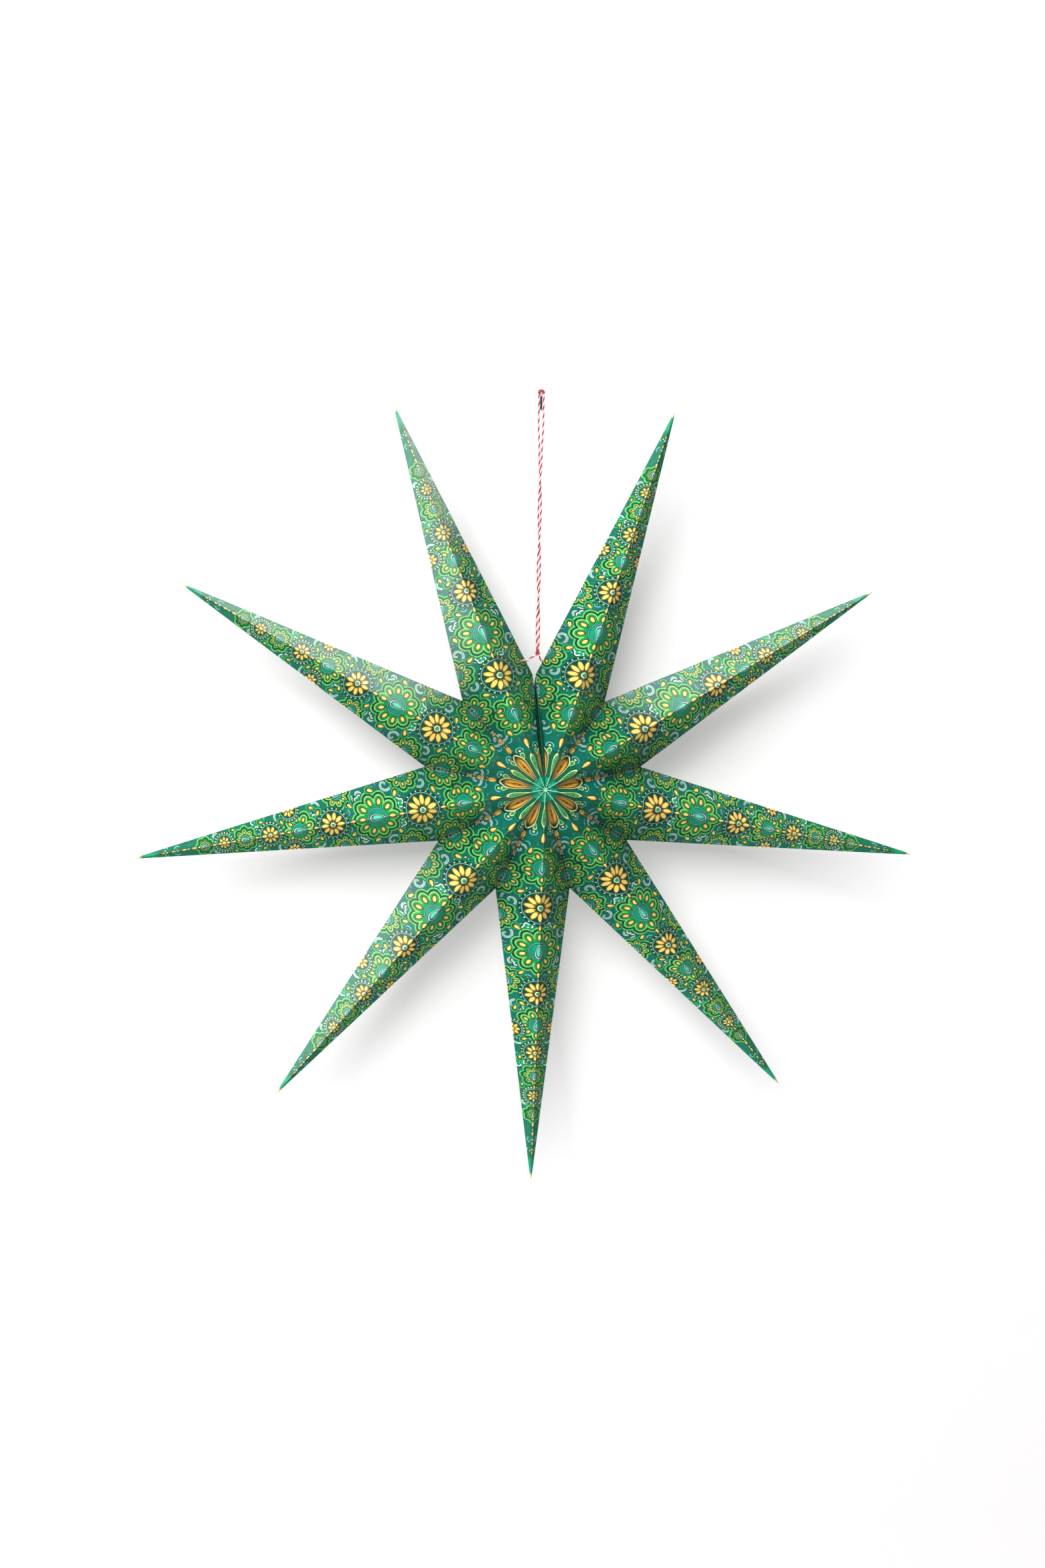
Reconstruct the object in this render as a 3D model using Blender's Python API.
"""A folding paper star with nine points, hung on a loop of striped twine.

Blender 4.5, metres, +Z up. The star stands in the X-Z plane with its front towards -Y, and the origin is
the inside of the twine's loop, where the star hangs. Every facet of the folded paper is an object of its
own. Its local X axis lies along the crease that it turns about and its local Z axis points outwards.
"""

import math

import bmesh
import bpy
from mathutils import Matrix, Vector

# Star, in metres and degrees
point_count = 9
crease_radius = 0.3014
notch_radius = 0.083
half_depth = 0.065
seam_opening = 0.002
star_shift = 0.0017
star_roll_degrees = -0.49

# Paper and creases
paper_thickness = 0.0003
crease_gap = 0.0002
glue_play = 0.00012
tip_cut = 0.0016
centre_cut = 0.0003
back_valley_relief = 0.0001
back_ridge_relief = 0.0001
cut_tolerance = 0.0000001

# Glue tabs along the valleys
tab_width = 0.011
tab_midplane_gap = 0.0015
tab_spine_gap = 0.003

# Punched holes for the ties
tie_hole_diameter = 0.0024
tie_hole_rise = 0.0128
tie_hole_inset = 0.0061
tie_crossing_rise = 0.0112
punch_overrun = 0.001

# Twine
twine_diameter = 0.0015
strand_gap = 0.00043
twist_pitch = 0.088
loop_half_width = 0.00175
loop_length = 0.026
loop_blend = 0.016
hang_drop = 0.2938
knot_rise = 0.0162
knot_diameter = 0.0042
knot_wrap_diameter = 0.0014
stopper_diameter = 0.0034
seat_gap = 0.0003
strand_points = 36
bend_points = 9

# Wire clip in the twine's loop
wire_diameter = 0.0005
clip_leg_spacing = 0.0009
clip_leg_length = 0.0055
clip_barrel_diameter = 0.0014
clip_barrel_length = 0.0088
clip_tail_length = 0.0015

# Colours and finishes
paper_colour = (0.012, 0.115, 0.062, 1.0)
tab_colour = (0.010, 0.085, 0.048, 1.0)
twine_colour = (0.62, 0.05, 0.09, 1.0)
clip_colour = (0.012, 0.012, 0.014, 1.0)
paper_roughness = 0.32
twine_roughness = 0.85
clip_roughness = 0.4

# Worked out from the sizes above
seam_angle = seam_opening / notch_radius
half_wedge = (math.tau - seam_angle) / (2 * point_count)
fold_offset = paper_thickness + glue_play
blank_width = 2 * (crease_radius + half_depth)
twine_radius = twine_diameter / 2
strand_offset = twine_radius + strand_gap / 2
star_centre = Vector((-star_shift, 0.0, -hang_drop))
star_frame = Matrix.Translation(star_centre) @ Matrix.Rotation(math.radians(star_roll_degrees), 4, "Y")
knot_height = notch_radius + knot_rise - hang_drop

FRONT, BACK = 1, -1
LEFT, RIGHT = -1, 1
FACE_NAMES = {FRONT: "front", BACK: "back"}
SIDE_NAMES = {LEFT: "left", RIGHT: "right"}


def clear_scene():
    for obj in list(bpy.data.objects):
        bpy.data.objects.remove(obj, do_unlink=True)


def make_material(name, colour, roughness, metallic=0.0):
    material = bpy.data.materials.new(name)
    material.use_nodes = True
    shader = material.node_tree.nodes["Principled BSDF"]
    shader.inputs["Base Color"].default_value = colour
    shader.inputs["Roughness"].default_value = roughness
    shader.inputs["Metallic"].default_value = metallic
    return material


def cutter_collection():
    collection = bpy.data.collections.get("cutters")
    if collection is None:
        collection = bpy.data.collections.new("cutters")
        bpy.context.scene.collection.children.link(collection)
    return collection


def hide_as_cutter(obj):
    for collection in list(obj.users_collection):
        collection.objects.unlink(obj)
    cutter_collection().objects.link(obj)
    obj.hide_render = True
    obj.display_type = "WIRE"


def add_boolean(obj, other, operation):
    modifier = obj.modifiers.new(other.name, "BOOLEAN")
    modifier.operation = operation
    modifier.solver = "EXACT"
    modifier.object = other


def star_point(radius, azimuth, depth):
    """A world point from its distance to the spine, its clockwise angle from the top and its depth."""
    return star_frame @ Vector((radius * math.sin(azimuth), -depth, radius * math.cos(azimuth)))


def star_direction(radial, lateral, azimuth, forward):
    """A world direction from its parts along the radius, clockwise across it and to the front."""
    flat = Vector((radial * math.sin(azimuth) + lateral * math.cos(azimuth), -forward,
                   radial * math.cos(azimuth) - lateral * math.sin(azimuth)))
    return star_frame.to_3x3() @ flat


def ridge_azimuth(point):
    """Points are numbered anticlockwise from the seam at the top, starting with 1 on its left."""
    return -(seam_angle / 2 + (2 * point - 1) * half_wedge)


def valley_azimuth(point, side):
    return ridge_azimuth(point) + side * half_wedge


def facet_corners(point, side, face):
    """The centre, tip and notch corners of a facet's inner face, where its crease axes meet."""
    ridge = ridge_azimuth(point)
    centre = star_point(fold_offset / math.sin(half_wedge), ridge, face * half_depth)
    tip = star_point(crease_radius, ridge, 0.0)
    valley = valley_azimuth(point, side)
    notch = star_point(notch_radius, valley, 0.0) - side * fold_offset * star_direction(0, 1, valley, 0)
    return centre, tip, notch


def valley_line(point, side, face):
    """The centre and notch ends of the line that two neighbouring points' facets turn about."""
    centre, _, notch = facet_corners(point, side, face)
    to_plane = side * fold_offset * star_direction(0, 1, valley_azimuth(point, side), 0)
    return centre + to_plane, notch + to_plane


def facet_normal(point, side, face):
    centre, tip, notch = facet_corners(point, side, face)
    normal = (tip - centre).cross(notch - centre).normalized()
    front = star_direction(0, 0, 0, 1)
    return normal if normal.dot(front) * face > 0 else -normal


def axis_frame(origin, along, outward):
    """A frame with X along a crease and Z as near to outward as the crease allows."""
    x_axis = along.normalized()
    z_axis = (outward - outward.dot(x_axis) * x_axis).normalized()
    y_axis = z_axis.cross(x_axis)
    rotation = Matrix((x_axis, y_axis, z_axis)).transposed().to_4x4()
    return Matrix.Translation(origin) @ rotation


def trimmed_sheet(name, frame, low, high, cuts, material):
    """A blank sheet in the frame's X-Y plane, from low to high along Z, cut off past each plane."""
    mesh = bmesh.new()
    blank = (Matrix.Translation(Vector((0.0, 0.0, (low + high) / 2)))
             @ Matrix.Diagonal((blank_width, blank_width, high - low, 1.0)))
    bmesh.ops.create_cube(mesh, size=1.0, matrix=blank)
    to_local = frame.inverted()
    for place, normal in cuts:
        geometry = mesh.verts[:] + mesh.edges[:] + mesh.faces[:]
        cut = bmesh.ops.bisect_plane(
            mesh, geom=geometry, dist=cut_tolerance, plane_co=to_local @ place,
            plane_no=to_local.to_3x3() @ normal, clear_outer=True)
        rim = [item for item in cut["geom_cut"] if isinstance(item, bmesh.types.BMEdge)]
        bmesh.ops.edgeloop_fill(mesh, edges=rim)
    bmesh.ops.recalc_face_normals(mesh, faces=mesh.faces[:])
    data = bpy.data.meshes.new(name)
    mesh.to_mesh(data)
    mesh.free()
    data.materials.append(material)
    obj = bpy.data.objects.new(name, data)
    obj.matrix_world = frame
    bpy.context.scene.collection.objects.link(obj)
    return obj


def edge_outwards(start, end, normal, opposite):
    """The direction in a sheet that leaves it square across the edge from start to end."""
    across = (end - start).cross(normal).normalized()
    return across if across.dot(opposite - start) < 0 else -across


def facet_name(point, side, face):
    return f"point_{point}_{FACE_NAMES[face]}_{SIDE_NAMES[side]}"


def build_facet(point, side, face, material):
    """One flat facet: centre, tip and notch corners, cut back a little at each of its creases."""
    centre, tip, notch = facet_corners(point, side, face)
    normal = facet_normal(point, side, face)
    half_gap = crease_gap / 2
    to_side = side * star_direction(0, 1, ridge_azimuth(point), 0)
    across_valley = edge_outwards(centre, notch, normal, tip)
    across_side = edge_outwards(notch, tip, normal, centre)
    down_ridge = (tip - centre).normalized()

    ridge_at_centre, valley_at_centre = centre + half_gap * to_side, centre - half_gap * across_valley
    if face == BACK:
        ridge_at_centre += back_ridge_relief * to_side
        valley_at_centre -= back_valley_relief * across_valley
    along_ridge = tip + half_gap * to_side - ridge_at_centre
    along_valley = notch - half_gap * across_valley - valley_at_centre
    miter = star_direction(0, 0, 0, face) - star_direction(0, 0, 0, face).dot(down_ridge) * down_ridge
    ridge_cut = along_ridge.cross(miter).normalized()
    ridge_cut = -ridge_cut if ridge_cut.dot(to_side) > 0 else ridge_cut
    valley_cut = edge_outwards(valley_at_centre, valley_at_centre + along_valley, normal, tip)
    into_corner = (down_ridge + (notch - centre).normalized()).normalized()
    cuts = [(ridge_at_centre, ridge_cut), (valley_at_centre, valley_cut),
            (notch - half_gap * across_side, across_side),
            (tip - tip_cut * down_ridge, down_ridge), (centre + centre_cut * into_corner, -into_corner)]

    if face == BACK:
        frame = axis_frame(notch, tip - notch, normal)
    elif side == LEFT:
        frame = axis_frame(centre, tip - centre, normal)
    else:
        line_centre, line_notch = valley_line(point, side, face)
        frame = axis_frame(line_centre, line_notch - line_centre, normal)
    depth = normal.dot(centre - frame.translation)
    return trimmed_sheet(facet_name(point, side, face), frame, depth, depth + paper_thickness, cuts, material)


def build_tab(name, point, side, face, glued, material):
    """A tab in the valley's plane, inside the star: a glued pair, or a single one beside the seam."""
    centre, _, notch = facet_corners(point, side, face)
    low, high = glue_play, glue_play + paper_thickness
    if glued:
        centre, notch = valley_line(point, side, face)
        low, high = -paper_thickness, paper_thickness
    valley = valley_azimuth(point, side)
    to_plane = side * star_direction(0, 1, valley, 0)
    radial = star_direction(1, 0, valley, 0)
    forward = star_direction(0, 0, 0, face)
    spine_point = star_point(0.0, 0.0, 0.0)
    along = (notch - centre).normalized()
    inward = to_plane.cross(along)
    inward = inward if inward.dot(radial) < 0 else -inward
    frame = axis_frame(centre, along, to_plane)
    cuts = [(notch + crease_gap / 2 * inward, -inward), (notch + tab_width * inward, inward),
            (spine_point + tab_midplane_gap * forward, -forward),
            (spine_point + tab_spine_gap * radial, -radial)]
    return trimmed_sheet(name, frame, low, high, cuts, material)


def tie_places(point, side, face):
    """The punched hole, the place where the tie crosses the side crease, and the facet's normal."""
    centre, tip, notch = facet_corners(point, side, face)
    normal = facet_normal(point, side, face)
    along = (tip - notch).normalized()
    inward = -edge_outwards(notch, tip, normal, centre)
    hole = notch + tie_hole_rise * along + tie_hole_inset * inward
    crossing = notch + tie_crossing_rise * along
    return hole, crossing, normal


def punch_hole(facet, point, side, face):
    hole, _, normal = tie_places(point, side, face)
    depth = paper_thickness + 2 * punch_overrun
    bpy.ops.mesh.primitive_cylinder_add(vertices=24, radius=tie_hole_diameter / 2, depth=depth)
    punch = bpy.context.object
    punch.name = f"punch_{facet.name}"
    punch.location = hole + paper_thickness / 2 * normal
    punch.rotation_euler = normal.to_track_quat("Z", "Y").to_euler()
    hide_as_cutter(punch)
    add_boolean(facet, punch, "DIFFERENCE")


def build_tube(name, points, radius, material):
    """A round cord or wire through the given points, with its ends closed."""
    curve = bpy.data.curves.new(name, "CURVE")
    curve.dimensions = "3D"
    curve.bevel_depth = radius
    curve.bevel_resolution = 2
    curve.use_fill_caps = True
    spline = curve.splines.new("POLY")
    spline.points.add(len(points) - 1)
    for place, point in zip(spline.points, points):
        place.co = (*point, 1.0)
    curve.materials.append(material)
    obj = bpy.data.objects.new(name, curve)
    bpy.context.scene.collection.objects.link(obj)
    return obj


def tube_as_mesh(name, points, radius, material):
    """The same tube as a mesh object, so that it can be joined to another solid."""
    tube = build_tube(name + "_path", points, radius, material)
    bpy.context.view_layer.update()
    graph = bpy.context.evaluated_depsgraph_get()
    data = bpy.data.meshes.new_from_object(tube.evaluated_get(graph))
    bpy.data.objects.remove(tube, do_unlink=True)
    obj = bpy.data.objects.new(name, data)
    bpy.context.scene.collection.objects.link(obj)
    return obj


def build_ball(name, centre, diameter, material):
    bpy.ops.mesh.primitive_uv_sphere_add(segments=20, ring_count=12, radius=diameter / 2, location=centre)
    ball = bpy.context.object
    ball.name = name
    ball.data.materials.append(material)
    return ball


def add_wraps(ball, centre, diameter):
    """Two crossing turns of twine round a knot, joined to it."""
    for number, tilt_degrees in enumerate((35.0, -40.0)):
        bpy.ops.mesh.primitive_torus_add(
            location=centre, rotation=(math.radians(tilt_degrees), 0.0, math.radians(-tilt_degrees)),
            major_segments=24, minor_segments=10,
            major_radius=(diameter - knot_wrap_diameter) / 2, minor_radius=knot_wrap_diameter / 2)
        wrap = bpy.context.object
        wrap.name = f"wrap_{number}_{ball.name}"
        hide_as_cutter(wrap)
        add_boolean(ball, wrap, "UNION")


def tie_path(point, side, face, end):
    """From the stopper inside the star, out through the hole, over the side crease and on to end."""
    hole, crossing, normal = tie_places(point, side, face)
    height = paper_thickness + twine_radius + seat_gap
    to_crease = (crossing - hole).normalized()
    stopper = hole - (stopper_diameter / 2 + seat_gap) * normal
    bend = [hole + height * (math.sin(turn) * normal + (1 - math.cos(turn)) * to_crease)
            for turn in (math.radians(step * 90 / 4) for step in range(5))]
    over = crossing + height * normal
    return stopper, [stopper] + bend + [over, end]


def build_left_tie(material):
    """The knot under the hanging strands, with the tie that runs from it into point 1."""
    knot_centre = Vector((0.0, 0.0, knot_height))
    knot = build_ball("knot_and_left_tie", knot_centre, knot_diameter, material)
    add_wraps(knot, knot_centre, knot_diameter)
    stopper_centre, path = tie_path(1, RIGHT, FRONT, knot_centre)
    tie = tube_as_mesh("left_tie_strand", path, twine_radius, material)
    stopper = build_ball("left_stopper", stopper_centre, stopper_diameter, material)
    for piece in (tie, stopper):
        hide_as_cutter(piece)
        add_boolean(knot, piece, "UNION")
    return knot


def build_right_tie(material):
    """The other tie, from its stopper inside the last point to its end beside the knot."""
    knot_centre = Vector((0.0, 0.0, knot_height))
    _, crossing, normal = tie_places(point_count, LEFT, BACK)
    over = crossing + (paper_thickness + twine_radius + seat_gap) * normal
    end = knot_centre + (knot_diameter / 2 + seat_gap) * (over - knot_centre).normalized()
    stopper_centre, path = tie_path(point_count, LEFT, BACK, end)
    stopper = build_ball("right_tie", stopper_centre, stopper_diameter, material)
    tie = tube_as_mesh("right_tie_strand", path, twine_radius, material)
    hide_as_cutter(tie)
    add_boolean(stopper, tie, "UNION")
    return stopper


def strand_place(height, sign):
    """A strand's centre at a height: twisted below, side by side and spread in the loop above."""
    loop_start = -loop_length - loop_blend
    turn = math.tau * min(height - loop_start, 0.0) / twist_pitch
    share = min(max((height - loop_start) / loop_blend, 0.0), 1.0)
    spread = share * share * (3 - 2 * share)
    offset = strand_offset + (loop_half_width - strand_offset) * spread
    return Vector((sign * offset * math.cos(turn), sign * offset * math.sin(turn), height))


def twine_path():
    """Up one strand from the knot, over the top of the loop and down the other strand."""
    bend_centre = twine_radius - loop_half_width
    low = knot_height + math.sqrt((knot_diameter / 2) ** 2 - strand_offset ** 2) + seat_gap
    low += twine_radius
    rise = bend_centre - low
    heights = [low + rise * step / strand_points for step in range(strand_points + 1)]
    up = [strand_place(height, -1) for height in heights]
    down = [strand_place(height, 1) for height in reversed(heights)]
    bend = []
    for step in range(1, bend_points):
        turn = math.pi * step / bend_points
        bend.append(Vector((-loop_half_width * math.cos(turn), 0.0,
                            bend_centre + loop_half_width * math.sin(turn))))
    return up + bend + down


def least_gap(points, diameter):
    """The least distance between stretches of a cord that are far apart along it, less its diameter."""
    apart = round(math.pi * loop_half_width / (hang_drop / strand_points)) + bend_points
    nearest = min((points[i] - points[j]).length
                  for i in range(len(points)) for j in range(i + apart, len(points)))
    return nearest - diameter


def build_hanging_twine(material):
    path = twine_path()
    print(f"hanging_twine: least gap to itself {least_gap(path, twine_diameter) * 1000:.2f} mm")
    return build_tube("hanging_twine", path, twine_radius, material)


def build_clip(material):
    """A doubled wire hooked behind the top of the loop, with a barrel pressed on its legs."""
    leg = clip_leg_spacing / 2
    barrel_top = -twine_radius - clip_leg_length + clip_barrel_length / 4
    barrel_centre = barrel_top - clip_barrel_length / 2
    reach = twine_radius * 2 + seat_gap + wire_diameter
    under = -seat_gap - wire_diameter / 2
    path = [Vector((-leg, 0.0, barrel_centre)), Vector((-leg, 0.0, under - reach / 2)),
            Vector((-leg, reach / 3, under)), Vector((-leg, reach - wire_diameter, under + reach / 3)),
            Vector((-leg, reach - wire_diameter, twine_diameter))]
    across = [Vector((leg, place.y, place.z)) for place in reversed(path)]
    bpy.ops.mesh.primitive_cylinder_add(
        vertices=20, radius=clip_barrel_diameter / 2, depth=clip_barrel_length,
        location=(0.0, 0.0, barrel_centre))
    barrel = bpy.context.object
    barrel.name = "wire_clip"
    barrel.data.materials.append(material)
    tail_top = barrel_centre - clip_barrel_length / 4
    tail = [Vector((0.0, 0.0, tail_top)),
            Vector((0.0, 0.0, tail_top - clip_barrel_length / 4 - clip_tail_length))]
    for name, points in (("clip_wire", path + across), ("clip_tail", tail)):
        wire = tube_as_mesh(name, points, wire_diameter / 2, material)
        hide_as_cutter(wire)
        add_boolean(barrel, wire, "UNION")
    return barrel


def keep_place_under(child, parent):
    child.parent = parent
    child.matrix_parent_inverse = parent.matrix_world.inverted()


def build_star(paper, tab_paper):
    """All facets and tabs, each parented to the piece that its crease joins it to."""
    facets = {}
    for point in range(1, point_count + 1):
        for face in (FRONT, BACK):
            for side in (RIGHT, LEFT):
                facets[point, side, face] = build_facet(point, side, face, paper)
    tabs = {}
    for face in (FRONT, BACK):
        for point in range(1, point_count):
            name = f"glue_tab_{FACE_NAMES[face]}_{point}"
            tabs[point, face] = build_tab(name, point, LEFT, face, True, tab_paper)
        for point, side in ((1, RIGHT), (point_count, LEFT)):
            name = f"end_tab_{FACE_NAMES[face]}_{point}"
            end_tab = build_tab(name, point, side, face, False, tab_paper)
            keep_place_under(end_tab, facets[point, side, face])
    for point in range(1, point_count + 1):
        keep_place_under(facets[point, LEFT, FRONT], facets[point, RIGHT, FRONT])
        for side in (LEFT, RIGHT):
            keep_place_under(facets[point, side, BACK], facets[point, side, FRONT])
    for point in range(1, point_count):
        for face in (FRONT, BACK):
            keep_place_under(tabs[point, face], facets[point, LEFT, face])
        keep_place_under(facets[point + 1, RIGHT, FRONT], facets[point, LEFT, FRONT])
    return facets


def main():
    clear_scene()
    paper = make_material("printed_paper", paper_colour, paper_roughness)
    tab_paper = make_material("plain_paper", tab_colour, paper_roughness)
    twine = make_material("striped_twine", twine_colour, twine_roughness)
    black_wire = make_material("black_wire", clip_colour, clip_roughness)

    facets = build_star(paper, tab_paper)
    punch_hole(facets[1, RIGHT, FRONT], 1, RIGHT, FRONT)
    punch_hole(facets[point_count, LEFT, BACK], point_count, LEFT, BACK)
    root = facets[1, RIGHT, FRONT]
    knot = build_left_tie(twine)
    keep_place_under(knot, root)
    keep_place_under(build_hanging_twine(twine), root)
    keep_place_under(build_clip(black_wire), root)
    keep_place_under(build_right_tie(twine), facets[point_count, LEFT, BACK])


main()
